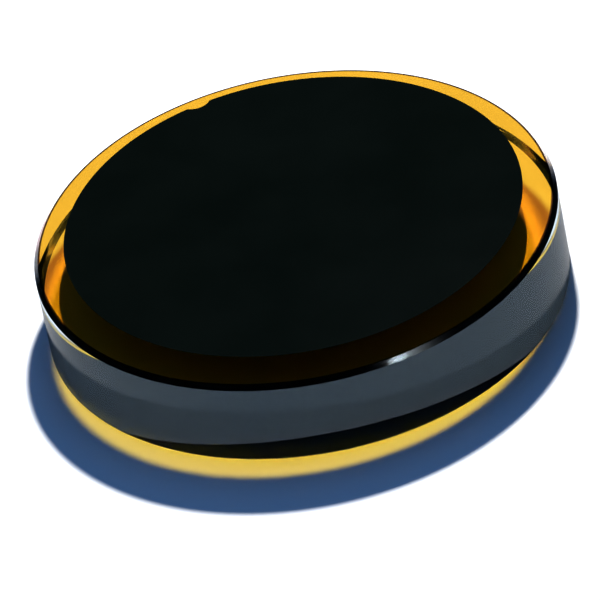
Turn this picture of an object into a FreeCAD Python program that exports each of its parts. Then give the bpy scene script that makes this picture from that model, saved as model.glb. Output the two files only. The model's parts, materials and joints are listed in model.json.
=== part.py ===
"""Thick round window of polished optical glass, coated on its upper face.

The glass is a colourless disc with a 45 degree bevel round both edges.  A black film covers
a circle of the upper face.  That circle sits off centre, and its edge has one small bare
nick.  A thin amber film fills the rest of the flat, out to the bevel, and fills the nick.

Frame: millimetres, +Z up, origin at the centre of the face that the disc lies on.  +Y points
the way the black film is shifted.
"""
import FreeCAD, Part
import Sketcher
import os

DIMENSIONS = [
    ("disc_diameter", 100.0),       # outside diameter of the glass
    ("disc_thickness", 17.5),       # between the two polished faces
    ("bevel_leg", 0.8),             # each leg of the 45 degree bevels
    ("black_diameter", 87.8),       # black film
    ("black_offset", 3.4),          # its centre, towards +Y from the disc's axis
    ("film_thickness", 0.02),       # both films: a stand-in, real ones are far thinner
    ("nick_radius", 3.2),           # the nick is a bite of this radius, 5 mm long
    ("nick_depth", 1.1),            # how far the bite reaches in from the film's edge
    ("nick_bearing", 108.0),        # its direction from the film's centre, in degrees
]
ORIGIN = FreeCAD.Vector(0, 0, 0)
UP = FreeCAD.Vector(0, 0, 1)


def make_sheet(doc):
    """Put the driving dimensions in a spreadsheet, one row each."""
    sheet = doc.addObject("Spreadsheet::Sheet", "dims")
    for row, (alias, value) in enumerate(DIMENSIONS, start=1):
        sheet.set(f"A{row}", alias)
        sheet.set(f"B{row}", str(value))
        sheet.setAlias(f"B{row}", alias)
    doc.recompute()


def add_circle_sketch(body, name, diameter, height, centre_x="0 mm", centre_y="0 mm"):
    """Add a sketch that holds one circle, parallel to XY, sized and placed by expressions."""
    sketch = body.newObject("Sketcher::SketchObject", name)
    plane = next(item for item in body.Origin.OriginFeatures if item.Role == "XY_Plane")
    sketch.AttachmentSupport = [(plane, "")]
    sketch.MapMode = "FlatFace"
    sketch.setExpression("AttachmentOffset.Base.x", centre_x)
    sketch.setExpression("AttachmentOffset.Base.y", centre_y)
    sketch.setExpression("AttachmentOffset.Base.z", height)
    first_radius = 1.0
    circle = sketch.addGeometry(Part.Circle(ORIGIN, UP, first_radius), False)
    centre_point = 3
    sketch_origin = (-1, 1)
    sketch.addConstraint(
        Sketcher.Constraint("Coincident", circle, centre_point, *sketch_origin))
    size = sketch.addConstraint(Sketcher.Constraint("Diameter", circle, 2 * first_radius))
    sketch.setExpression(f"Constraints[{size}]", diameter)
    return sketch


def add_disc_body(doc, label, diameter, height, thickness, centre_y="0 mm"):
    """Make a body that is one round disc, and return it with its pad."""
    body = doc.addObject("PartDesign::Body", f"{label}_body")
    body.Label = label
    body.Placement = FreeCAD.Placement(ORIGIN, FreeCAD.Rotation())
    sketch = add_circle_sketch(body, f"{label}_outline", diameter, height, centre_y=centre_y)
    pad = body.newObject("PartDesign::Pad", f"{label}_pad")
    pad.Profile = sketch
    pad.setExpression("Length", thickness)
    doc.recompute()
    return body, pad


def add_glass(doc):
    """The polished disc, bevelled at both edges."""
    body, pad = add_disc_body(doc, "glass_substrate", "dims.disc_diameter",
                              "0 mm", "dims.disc_thickness")
    rims = [f"Edge{number}" for number, edge in enumerate(pad.Shape.Edges, start=1)
            if isinstance(edge.Curve, Part.Circle)]
    bevel = body.newObject("PartDesign::Chamfer", "edge_bevels")
    bevel.Base = (pad, rims)
    bevel.setExpression("Size", "dims.bevel_leg")
    return body


def add_black_film(doc):
    """The black film on the glass, with the bare nick cut from its edge."""
    body, pad = add_disc_body(doc, "black_film", "dims.black_diameter", "dims.disc_thickness",
                              "dims.film_thickness", centre_y="dims.black_offset")
    reach = "(dims.black_diameter / 2 + dims.nick_radius - dims.nick_depth)"
    bite = add_circle_sketch(
        body, "nick_outline", "2 * dims.nick_radius", "dims.disc_thickness",
        centre_x=f"{reach} * cos(dims.nick_bearing * 1 deg)",
        centre_y=f"dims.black_offset + {reach} * sin(dims.nick_bearing * 1 deg)")
    nick = body.newObject("PartDesign::Pocket", "nick")
    nick.Profile = bite
    nick.Type = "ThroughAll"
    nick.Midplane = True
    doc.recompute()
    if not nick.Shape.Volume < pad.Shape.Volume:
        raise RuntimeError("the nick cuts nothing from the black film")
    return body


def add_amber_margin(doc, black_film):
    """The amber film: the whole flat of the upper face, less what the black film covers."""
    disc = doc.addObject("Part::Cylinder", "amber_disc")
    disc.setExpression("Radius", "dims.disc_diameter / 2 - dims.bevel_leg")
    disc.setExpression("Height", "dims.film_thickness")
    disc.setExpression("Placement.Base.z", "dims.disc_thickness")
    margin = doc.addObject("Part::Cut", "amber_margin")
    margin.Label = "amber_margin_film"
    margin.Base = disc
    margin.Tool = black_film
    margin.Placement = FreeCAD.Placement(ORIGIN, FreeCAD.Rotation())
    doc.recompute()
    return margin


def check(doc, pieces):
    """Stop if any object failed, or if any piece isn't one valid solid."""
    doc.recompute()
    for item in doc.Objects:
        if "Invalid" in item.State or "Error" in item.State:
            raise RuntimeError(f"{item.Name} failed: {item.State}")
    for piece in pieces:
        shape = piece.Shape
        if shape.isNull() or not shape.isValid() or len(shape.Solids) != 1:
            raise RuntimeError(f"{piece.Label} isn't one valid solid")


def main():
    doc = FreeCAD.newDocument("coated_window")
    make_sheet(doc)
    glass = add_glass(doc)
    black_film = add_black_film(doc)
    pieces = [glass, black_film, add_amber_margin(doc, black_film)]
    check(doc, pieces)
    os.makedirs("parts", exist_ok=True)
    for piece in pieces:
        piece.Shape.exportStep(f"parts/{piece.Label}.step")
        print(piece.Label, round(piece.Shape.Volume, 3), piece.Shape.BoundBox)


main()
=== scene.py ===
"""Looks of a thick round optical window with a black film and an amber margin."""
import json
import math

import bmesh
import bpy
from mathutils import Matrix, Vector


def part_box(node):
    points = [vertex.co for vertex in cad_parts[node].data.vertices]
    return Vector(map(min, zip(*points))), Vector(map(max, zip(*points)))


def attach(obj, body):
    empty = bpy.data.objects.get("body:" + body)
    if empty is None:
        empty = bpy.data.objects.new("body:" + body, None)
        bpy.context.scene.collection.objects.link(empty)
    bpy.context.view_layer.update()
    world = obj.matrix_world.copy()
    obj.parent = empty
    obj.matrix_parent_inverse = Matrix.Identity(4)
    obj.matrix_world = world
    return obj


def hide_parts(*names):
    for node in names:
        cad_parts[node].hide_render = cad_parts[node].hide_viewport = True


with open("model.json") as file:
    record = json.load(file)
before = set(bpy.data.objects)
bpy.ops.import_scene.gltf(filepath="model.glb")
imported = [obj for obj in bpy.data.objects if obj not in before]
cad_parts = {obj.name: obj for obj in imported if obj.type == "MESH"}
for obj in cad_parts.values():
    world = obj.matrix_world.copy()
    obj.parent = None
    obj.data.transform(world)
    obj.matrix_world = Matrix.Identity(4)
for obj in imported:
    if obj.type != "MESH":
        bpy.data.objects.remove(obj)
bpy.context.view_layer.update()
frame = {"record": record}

MM = 0.001
SEGMENTS = 720                      # round each outline

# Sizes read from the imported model.
glass_low, glass_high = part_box("glass_substrate")
black_low, black_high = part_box("black_film")
rim_mount = next(m for m in frame["record"]["mounts"] if m["name"] == "rim")
RADIUS = rim_mount["dims"]["r_mm"] * MM
THICKNESS = glass_high.z - glass_low.z
BEVEL = (THICKNESS - rim_mount["dims"]["length_mm"] * MM) / 2
FLAT_RADIUS = RADIUS - BEVEL
FILM = black_high.z - glass_high.z
BLACK_RADIUS = (black_high.x - black_low.x) / 2
BLACK_CENTRE = Vector((0.0, (black_low.y + black_high.y) / 2))

# The nick in the black film's edge, as in the CAD model.
NICK_RADIUS = 3.2 * MM
NICK_DEPTH = 1.1 * MM
NICK_BEARING = math.radians(108.0)

# The view, in radii of the disc.
CAMERA_BEARING = math.radians(270.0)
CAMERA_ELEVATION = math.radians(36.0)
CAMERA_ROLL = math.radians(11.4)
CAMERA_DISTANCE = 36.0 * RADIUS
CAMERA_NEAR = 0.1 * RADIUS
CAMERA_FAR = 400.0 * RADIUS
CAMERA_AIM = Vector((-0.0367 * RADIUS, 0.0, 0.0))
FIELD_WIDTH = 2.2745 * RADIUS
SENSOR = 36.0                       # millimetres
PRINT_GAMMA = 0.78                  # deepens the darks, as in a contrasty print

# The glass.
GLASS_INDEX = 1.6
GLASS_TO_LAMPS = (0.97, 0.97, 0.97) # what each face lets by of light from a lamp
CLEAR = ((0.985, 0.99, 0.99), (1.0, 1.0, 1.0))
WALL_PAINTED_CAST = ((0.74, 0.91, 1.0), (0.80, 0.95, 1.0))  # painted blue-grey cast on what is seen through the wall, standing in for its reflected light
FLAT_ROUGHNESS = (0.0, 0.004)
WALL_ROUGHNESS = (0.0, 0.010)
BEVEL_ROUGHNESS = (0.03, 0.12)
BEVEL_MARKS = 0.004 * MM            # height of the fine marks that grinding leaves
WALL_PAINTED_MIRROR_TINT = (0.42, 0.62, 0.86)    # painted blue tint on what the wall mirrors, and the share of it kept, both chosen for the look
WALL_MIRROR_SHARE = 0.4             # and the share of it kept, both chosen for the look

# The black film, whose underside shows through the wall. The underside is a bluer copy of the black
# with a painted blue sheen, for the wall's blue-grey look.
BLACK = ((0.0030, 0.0058, 0.0046), (0.0042, 0.0074, 0.0060))
BLACK_UNDER = ((0.004, 0.006, 0.008), (0.006, 0.009, 0.012))
BLACK_INDEX = 1.5
BLACK_GLOSS = 0.10                  # specular level, where 0.5 is what the index alone gives
UNDER_GLOSS = 0.07
BLACK_MIRROR = (1.0, 1.0, 1.0)
UNDER_PAINTED_MIRROR_TINT = (0.42, 0.58, 0.95)   # painted blue tint on what the underside mirrors, for the look
BLACK_ROUGHNESS = (0.12, 0.18)
UNDER_ROUGHNESS = (0.0, 0.02)

# The amber film.
AMBER = (0.86, 0.52, 0.06)          # tint of what is seen through the film
AMBER_TO_LAMPS = (0.50, 0.30, 0.30) # tint of a lamp's light, chosen for the look
AMBER_VARIATION = 0.03              # how unevenly the film is coloured
AMBER_PAINTED_RIM = (0.07, 0.03, 0.02)     # painted shade: a dark line along the film's outer edge, for the dark rim at the bevel
AMBER_PAINTED_RIM_WIDTH = 0.45 * MM

# The floor.
FLOOR_HALF = 60.0 * RADIUS
FLOOR_SHADES = ((0.89, 0.89, 0.89), (0.91, 0.91, 0.91))
SHEET_GAP = 0.01 * MM               # air under the disc where it lies on the floor

# The key lamp, and a second lamp in its place that shows only as glints.
KEY_BEARING = math.radians(77.0)
KEY_ELEVATION = math.radians(53.6)
KEY_DISTANCE = 8.2 * RADIUS
KEY_ANGLE = math.radians(3.5)       # its width, seen from the disc
KEY_POWER = 2.9
KEY_COLOUR = (1.0, 0.98, 0.95)
GLINT_POWER = 0.25

# A soft lamp that only the glass mirrors, for the look.
WINDOW_BEARING = math.radians(315.0)
WINDOW_ELEVATION = math.radians(49.0)
WINDOW_SIZE = (2.8 * RADIUS, 0.5 * RADIUS)
WINDOW_POWER = 0.5
WINDOW_COLOUR = (0.80, 0.92, 1.0)
MIRROR_BOUNCES = 2                  # few enough to keep the glints off the table

# The amber crescent on the floor.
GLOW_COLOUR = (0.72, 0.514, 0.04)
GLOW_POWER = 52.0
GLOW_BEARING = math.radians(72.0)
GLOW_ELEVATION = math.radians(70.5)
GLOW_RADIUS = 0.94 * RADIUS
GLOW_DISTANCE = 20.0 * RADIUS
GLOW_BLEND = 0.03                   # soft share of the cone's edge
GLOW_SOURCE = 0.02 * RADIUS         # small, to keep the crescent's edges sharp

# The sky: dark, with one bright patch that leans to the back.
SKY_LOW = (0.004, 0.007, 0.010)
SKY_HIGH = (0.28, 0.62, 1.30)
SKY_BEARING = math.radians(90.0)
SKY_ELEVATION = math.radians(75.0)
SKY_START = 0.80                    # cosine of the angle from its middle where it brightens
SKY_FULL = 0.95


def link(name, data):
    obj = bpy.data.objects.new(name, data)
    bpy.context.scene.collection.objects.link(obj)
    return obj


def film_reach(bearing):
    """Distance from the black film's centre to its edge, nick included, at a bearing."""
    far = BLACK_RADIUS + NICK_RADIUS - NICK_DEPTH
    turn = bearing - NICK_BEARING
    across = far * math.sin(turn)
    if math.cos(turn) <= 0 or abs(across) >= NICK_RADIUS:
        return BLACK_RADIUS
    return min(BLACK_RADIUS, far * math.cos(turn) - math.sqrt(NICK_RADIUS**2 - across**2))


def bearings():
    return [math.tau * i / SEGMENTS for i in range(SEGMENTS)]


def circle_outline(radius):
    return [Vector((radius * math.cos(a), radius * math.sin(a))) for a in bearings()]


def black_outline():
    return [BLACK_CENTRE + film_reach(a) * Vector((math.cos(a), math.sin(a))) for a in bearings()]


def stacked_mesh(name, loops, smooth_bands, closed):
    """Join equal-length loops of 3-D points with bands of quads.

    A loop of one point closes a cap.  smooth_bands are the bands shaded as curved.  With
    closed, the last loop joins the first, as round a ring.
    """
    bm = bmesh.new()
    rings = [[bm.verts.new(point) for point in loop] for loop in loops]
    pairs = list(zip(rings, rings[1:]))
    if closed:
        pairs.append((rings[-1], rings[0]))
    for band, (first, second) in enumerate(pairs):
        for i in range(SEGMENTS):
            j = (i + 1) % SEGMENTS
            if len(first) == 1:
                corners = (first[0], second[j], second[i])
            elif len(second) == 1:
                corners = (first[i], first[j], second[0])
            else:
                corners = (first[i], first[j], second[j], second[i])
            face = bm.faces.new(corners)
            face.material_index = band
            face.smooth = band in smooth_bands
    bmesh.ops.recalc_face_normals(bm, faces=bm.faces)
    for edge in bm.edges:
        bands = {face.material_index for face in edge.link_faces}
        edge.smooth = len(bands) == 1
    mesh = bpy.data.meshes.new(name)
    bm.to_mesh(mesh)
    bm.free()
    return link(name, mesh)


def lift(outline, z):
    return [Vector((p.x, p.y, z)) for p in outline]


def new_material(name):
    mat = bpy.data.materials.new(name)
    mat.use_nodes = True
    nodes = mat.node_tree.nodes
    return mat, mat.node_tree, nodes["Principled BSDF"], nodes["Material Output"]


def noise(tree, scale, detail=4.0):
    """Noise fixed to the object, with scale features to the metre or so."""
    where = tree.nodes.new("ShaderNodeTexCoord")
    tex = tree.nodes.new("ShaderNodeTexNoise")
    tex.inputs["Scale"].default_value = scale
    tex.inputs["Detail"].default_value = detail
    tree.links.new(where.outputs["Object"], tex.inputs["Vector"])
    return tex.outputs["Fac"]


def distance_from_axis(tree):
    """Distance of the shaded point from the disc's axis, in metres."""
    where = tree.nodes.new("ShaderNodeTexCoord")
    flatten = tree.nodes.new("ShaderNodeVectorMath")
    flatten.operation = "MULTIPLY"
    flatten.inputs[1].default_value = (1, 1, 0)
    length = tree.nodes.new("ShaderNodeVectorMath")
    length.operation = "LENGTH"
    tree.links.new(where.outputs["Object"], flatten.inputs[0])
    tree.links.new(flatten.outputs["Vector"], length.inputs[0])
    return length.outputs["Value"]


def spread(tree, source, low, high, start=0.3, end=0.7):
    """Map start to end, by default a noise's usual range, onto low to high."""
    node = tree.nodes.new("ShaderNodeMapRange")
    for socket, value in (("From Min", start), ("From Max", end), ("To Min", low), ("To Max", high)):
        node.inputs[socket].default_value = value
    tree.links.new(source, node.inputs["Value"])
    return node.outputs["Result"]


def blend_colours(tree, source, low, high, start=0.35, end=0.65):
    """Turn from the low colour to the high one as the source goes from start to end."""
    ramp = tree.nodes.new("ShaderNodeValToRGB")
    ramp.color_ramp.elements[0].position = start
    ramp.color_ramp.elements[1].position = end
    ramp.color_ramp.elements[0].color = (*low, 1)
    ramp.color_ramp.elements[1].color = (*high, 1)
    tree.links.new(source, ramp.inputs["Fac"])
    return ramp.outputs["Color"]


def bump(tree, shader, source, height):
    node = tree.nodes.new("ShaderNodeBump")
    node.inputs["Distance"].default_value = height
    tree.links.new(source, node.inputs["Height"])
    tree.links.new(node.outputs["Normal"], shader.inputs["Normal"])


def weaken_mirror(tree, shader, share):
    """Keep only a share of what the outside mirrors.  The inside stays as it is."""
    plain = tree.nodes.new("ShaderNodeBsdfRefraction")
    plain.inputs["IOR"].default_value = GLASS_INDEX
    for source, target in (("Base Color", "Color"), ("Roughness", "Roughness")):
        tree.links.new(shader.inputs[source].links[0].from_socket, plain.inputs[target])
    side = tree.nodes.new("ShaderNodeNewGeometry")
    mix = tree.nodes.new("ShaderNodeMixShader")
    inside = tree.nodes.new("ShaderNodeMapRange")
    inside.inputs["To Min"].default_value = share
    inside.inputs["To Max"].default_value = 1.0
    tree.links.new(side.outputs["Backfacing"], inside.inputs["Value"])
    tree.links.new(inside.outputs["Result"], mix.inputs["Fac"])
    tree.links.new(plain.outputs["BSDF"], mix.inputs[1])
    tree.links.new(shader.outputs["BSDF"], mix.inputs[2])
    return mix.outputs["Shader"]


def let_lamps_through(tree, surface, output, colour, only_from_inside=False):
    """Rays towards a lamp pass straight through, tinted, in place of casting a solid shadow.

    With only_from_inside, those that meet the face from outside are still stopped by it.
    """
    clear = tree.nodes.new("ShaderNodeBsdfTransparent")
    clear.inputs["Color"].default_value = (*colour, 1)
    mix = tree.nodes.new("ShaderNodeMixShader")
    share = tree.nodes.new("ShaderNodeLightPath").outputs["Is Shadow Ray"]
    if only_from_inside:
        both = tree.nodes.new("ShaderNodeMath")
        both.operation = "MULTIPLY"
        side = tree.nodes.new("ShaderNodeNewGeometry")
        tree.links.new(share, both.inputs[0])
        tree.links.new(side.outputs["Backfacing"], both.inputs[1])
        share = both.outputs["Value"]
    tree.links.new(share, mix.inputs["Fac"])
    tree.links.new(surface, mix.inputs[1])
    tree.links.new(clear.outputs["BSDF"], mix.inputs[2])
    tree.links.new(mix.outputs["Shader"], output.inputs["Surface"])


def glass_material(name, tint, rough, only_from_inside, marks=0.0, mirror_share=1.0):
    """Polished glass, clear except for a painted cool cast on the wall, with a faint uneven polish and,
    on request, fine grinding marks.
    """
    mat, tree, shader, output = new_material(name)
    shader.inputs["IOR"].default_value = GLASS_INDEX
    shader.inputs["Transmission Weight"].default_value = 1.0
    smudge = noise(tree, scale=45.0)
    tree.links.new(blend_colours(tree, noise(tree, scale=20.0), *tint), shader.inputs["Base Color"])
    tree.links.new(spread(tree, smudge, *rough), shader.inputs["Roughness"])
    if marks > 0:
        bump(tree, shader, noise(tree, scale=2500.0, detail=6.0), marks)
    surface = shader.outputs["BSDF"]
    if mirror_share < 1:
        surface = weaken_mirror(tree, shader, mirror_share)
    let_lamps_through(tree, surface, output, GLASS_TO_LAMPS, only_from_inside)
    return mat


def black_material(name, shades, gloss, mirror_tint, rough):
    """Opaque coating, whose faint mirror image takes a tint, a painted reflection colour where it isn't
    white.
    """
    mat, tree, shader, _ = new_material(name)
    shader.inputs["IOR"].default_value = BLACK_INDEX
    shader.inputs["Specular IOR Level"].default_value = gloss
    shader.inputs["Specular Tint"].default_value = (*mirror_tint, 1)
    tree.links.new(blend_colours(tree, noise(tree, scale=60.0), *shades), shader.inputs["Base Color"])
    tree.links.new(spread(tree, noise(tree, scale=25.0), *rough), shader.inputs["Roughness"])
    return mat


def amber_material():
    """Transparent amber coating, which tints what is seen through it, with a painted dark line along
    its outer edge.
    """
    mat, tree, shader, output = new_material("amber_coating")
    shader.inputs["IOR"].default_value = 1.0
    shader.inputs["Transmission Weight"].default_value = 1.0
    shader.inputs["Roughness"].default_value = 0.0
    deeper = tuple((1 - AMBER_VARIATION) * c for c in AMBER)
    paler = tuple((1 + AMBER_VARIATION) * c for c in AMBER)
    tint = blend_colours(tree, noise(tree, scale=40.0), deeper, paler)
    # Painted shade: the film turns to a dark line along its outer edge, by the bevel.
    edge = tree.nodes.new("ShaderNodeMix")
    edge.data_type = "RGBA"
    edge.inputs["B"].default_value = (*AMBER_PAINTED_RIM, 1)
    fade_from = FLAT_RADIUS - AMBER_PAINTED_RIM_WIDTH
    fade_to = FLAT_RADIUS - AMBER_PAINTED_RIM_WIDTH / 2
    fade = spread(tree, distance_from_axis(tree), 0.0, 1.0, fade_from, fade_to)
    tree.links.new(fade, edge.inputs["Factor"])
    tree.links.new(tint, edge.inputs["A"])
    tree.links.new(edge.outputs["Result"], shader.inputs["Base Color"])
    one_face = tuple(math.sqrt(c) for c in AMBER_TO_LAMPS)
    let_lamps_through(tree, shader.outputs["BSDF"], output, one_face)
    return mat


def floor_material():
    mat, tree, shader, _ = new_material("pale_floor")
    shader.inputs["Roughness"].default_value = 0.9
    shader.inputs["Specular IOR Level"].default_value = 0.1
    shade = blend_colours(tree, noise(tree, scale=12.0), *FLOOR_SHADES)
    tree.links.new(shade, shader.inputs["Base Color"])
    return mat


def make_glass():
    """The disc: lower flat, bevel, wall, bevel and upper flat."""
    top, bottom = glass_high.z, glass_low.z
    loops = [[Vector((0, 0, bottom))]]
    for radius, z in ((FLAT_RADIUS, bottom), (RADIUS, bottom + BEVEL),
                      (RADIUS, top - BEVEL), (FLAT_RADIUS, top)):
        loops.append(lift(circle_outline(radius), z))
    loops.append([Vector((0, 0, top))])
    obj = stacked_mesh("glass_disc", loops, smooth_bands=(1, 2, 3), closed=False)
    flat = glass_material("polished_flat", CLEAR, FLAT_ROUGHNESS, only_from_inside=False)
    # The wall takes a painted cool cast in place of clear glass.
    wall = glass_material("polished_wall", WALL_PAINTED_CAST, WALL_ROUGHNESS, only_from_inside=True,
                          mirror_share=WALL_MIRROR_SHARE)
    bevel = glass_material("polished_bevel", CLEAR, BEVEL_ROUGHNESS, only_from_inside=True,
                           marks=BEVEL_MARKS)
    # Painted blue tint on the wall's reflection.
    wall.node_tree.nodes["Principled BSDF"].inputs["Specular Tint"].default_value = (*WALL_PAINTED_MIRROR_TINT, 1)
    for mat in (flat, bevel, wall, bevel, flat):
        obj.data.materials.append(mat)
    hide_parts("glass_substrate")
    return obj


def make_black_film():
    """The black film.  It sinks into the glass by its own thickness, so no air lies between."""
    outline = black_outline()
    low, high = glass_high.z - FILM, glass_high.z + FILM
    centre = (BLACK_CENTRE.x, BLACK_CENTRE.y)
    loops = [[Vector((*centre, low))], lift(outline, low), lift(outline, high),
             [Vector((*centre, high))]]
    obj = stacked_mesh("black_coating", loops, smooth_bands=(1,), closed=False)
    upper = black_material("black_coating", BLACK, BLACK_GLOSS, BLACK_MIRROR, BLACK_ROUGHNESS)
    under = black_material("black_coating_under", BLACK_UNDER, UNDER_GLOSS, UNDER_PAINTED_MIRROR_TINT,
                           UNDER_ROUGHNESS)
    for mat in (under, upper, upper):
        obj.data.materials.append(mat)
    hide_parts("black_film")
    return obj


def make_amber_film():
    """The amber film round the black one, out to the bevel."""
    inner, outer = black_outline(), circle_outline(FLAT_RADIUS)
    low, high = glass_high.z - FILM, glass_high.z + FILM
    loops = [lift(inner, low), lift(outer, low), lift(outer, high), lift(inner, high)]
    obj = stacked_mesh("amber_margin", loops, smooth_bands=(1, 3), closed=True)
    amber = amber_material()
    for _ in loops:
        obj.data.materials.append(amber)
    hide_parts("amber_margin_film")
    return obj


def make_floor():
    bm = bmesh.new()
    corners = [bm.verts.new((x * FLOOR_HALF, y * FLOOR_HALF, glass_low.z - SHEET_GAP))
               for x, y in ((-1, -1), (1, -1), (1, 1), (-1, 1))]
    bm.faces.new(corners)
    mesh = bpy.data.meshes.new("floor")
    bm.to_mesh(mesh)
    bm.free()
    floor = link("floor", mesh)
    floor.data.materials.append(floor_material())
    return floor


def direction(bearing, elevation):
    flat = math.cos(elevation)
    return Vector((flat * math.cos(bearing), flat * math.sin(bearing), math.sin(elevation)))


def make_camera():
    data = bpy.data.cameras.new("camera")
    obj = link("camera", data)
    back = direction(CAMERA_BEARING, CAMERA_ELEVATION)
    look = (-back).to_track_quat("-Z", "Y").to_matrix().to_4x4()
    place = Matrix.Translation(CAMERA_AIM + back * CAMERA_DISTANCE)
    obj.matrix_world = place @ look @ Matrix.Rotation(-CAMERA_ROLL, 4, "Z")
    data.sensor_width = SENSOR
    data.lens = SENSOR * CAMERA_DISTANCE / FIELD_WIDTH
    data.clip_start = CAMERA_NEAR
    data.clip_end = CAMERA_FAR
    bpy.context.scene.camera = obj


def area_light(name, bearing, elevation, distance, size, power, colour):
    data = bpy.data.lights.new(name, "AREA")
    data.shape = "DISK"
    data.size = size
    data.energy = power
    data.color = colour
    obj = link(name, data)
    away = direction(bearing, elevation)
    turn = away.to_track_quat("Z", "Y").to_matrix().to_4x4()
    obj.matrix_world = Matrix.Translation(away * distance) @ turn
    return obj


def keep_bright_with_distance(lamp, distance):
    """Light near and far floor alike, so that a near lamp still leaves the whole floor pale."""
    lamp.data.use_nodes = True
    tree = lamp.data.node_tree
    falloff = tree.nodes.new("ShaderNodeLightFalloff")
    falloff.inputs["Strength"].default_value = 1 / distance**2
    tree.links.new(falloff.outputs["Constant"], tree.nodes["Emission"].inputs["Strength"])


def only(name, obj):
    """A collection of one object, for what a lamp lights or is blocked by."""
    group = bpy.data.collections.new(name)
    group.objects.link(obj)
    return group


def make_glow(floor, black_film):
    """Amber crescent on the floor in front of the disc.

    Its cause isn't known.  A spot lamp stands for it, placed and coloured for the look.  It
    lights the floor alone, and only the black film shades it.
    """
    data = bpy.data.lights.new("glow", "SPOT")
    data.energy = GLOW_POWER
    data.color = GLOW_COLOUR
    data.spot_size = 2 * math.atan(GLOW_RADIUS / GLOW_DISTANCE)
    data.spot_blend = GLOW_BLEND
    data.shadow_soft_size = GLOW_SOURCE
    obj = link("glow", data)
    away = direction(GLOW_BEARING, GLOW_ELEVATION)
    turn = away.to_track_quat("Z", "Y").to_matrix().to_4x4()
    # A slanting cone has to be flattened to light a round patch of the floor.
    flatten = Matrix.Scale(math.sin(GLOW_ELEVATION), 4, (0, 1, 0))
    aim = Vector((0, 0, glass_high.z))
    obj.matrix_world = Matrix.Translation(aim + away * GLOW_DISTANCE) @ turn @ flatten
    obj.light_linking.receiver_collection = only("lit_by_glow", floor)
    obj.light_linking.blocker_collection = only("shades_glow", black_film)


def make_lamps(glass):
    size = 2 * KEY_DISTANCE * math.tan(KEY_ANGLE / 2)
    key = area_light("key", KEY_BEARING, KEY_ELEVATION, KEY_DISTANCE, size, KEY_POWER, KEY_COLOUR)
    # The lamp reaches the table under the disc through let_lamps_through, so it isn't counted
    # a second time along bent rays.
    key.visible_transmission = False
    key.visible_glossy = False
    keep_bright_with_distance(key, KEY_DISTANCE)
    glint = area_light("glint", KEY_BEARING, KEY_ELEVATION, KEY_DISTANCE, size, GLINT_POWER, KEY_COLOUR)
    window = area_light("window", WINDOW_BEARING, WINDOW_ELEVATION, KEY_DISTANCE, WINDOW_SIZE[0],
                        WINDOW_POWER, WINDOW_COLOUR)
    window.data.shape = "ELLIPSE"
    window.data.size_y = WINDOW_SIZE[1]
    window.visible_transmission = False
    window.light_linking.receiver_collection = only("lit_by_window", glass)
    for lamp in (glint, window):
        lamp.visible_diffuse = False
        lamp.data.cycles.max_bounces = MIRROR_BOUNCES


def make_sky():
    world = bpy.data.worlds.new("world")
    bpy.context.scene.world = world
    world.use_nodes = True
    # The sky isn't sampled as a lamp, so it too reaches the table under the disc only once.
    world.cycles.sampling_method = "NONE"
    tree = world.node_tree
    where = tree.nodes.new("ShaderNodeTexCoord")
    nearness = tree.nodes.new("ShaderNodeVectorMath")
    nearness.operation = "DOT_PRODUCT"
    nearness.inputs[1].default_value = direction(SKY_BEARING, SKY_ELEVATION)
    tree.links.new(where.outputs["Generated"], nearness.inputs[0])
    shade = blend_colours(tree, nearness.outputs["Value"], SKY_LOW, SKY_HIGH, SKY_START, SKY_FULL)
    tree.links.new(shade, tree.nodes["Background"].inputs["Color"])


def main():
    make_camera()
    glass, black_film = make_glass(), make_black_film()
    for piece in (glass, black_film, make_amber_film()):
        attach(piece, "root")
    make_lamps(glass)
    make_sky()
    floor = make_floor()
    make_glow(floor, black_film)
    bpy.context.scene.view_settings.view_transform = "Standard"
    bpy.context.scene.view_settings.gamma = PRINT_GAMMA


main()
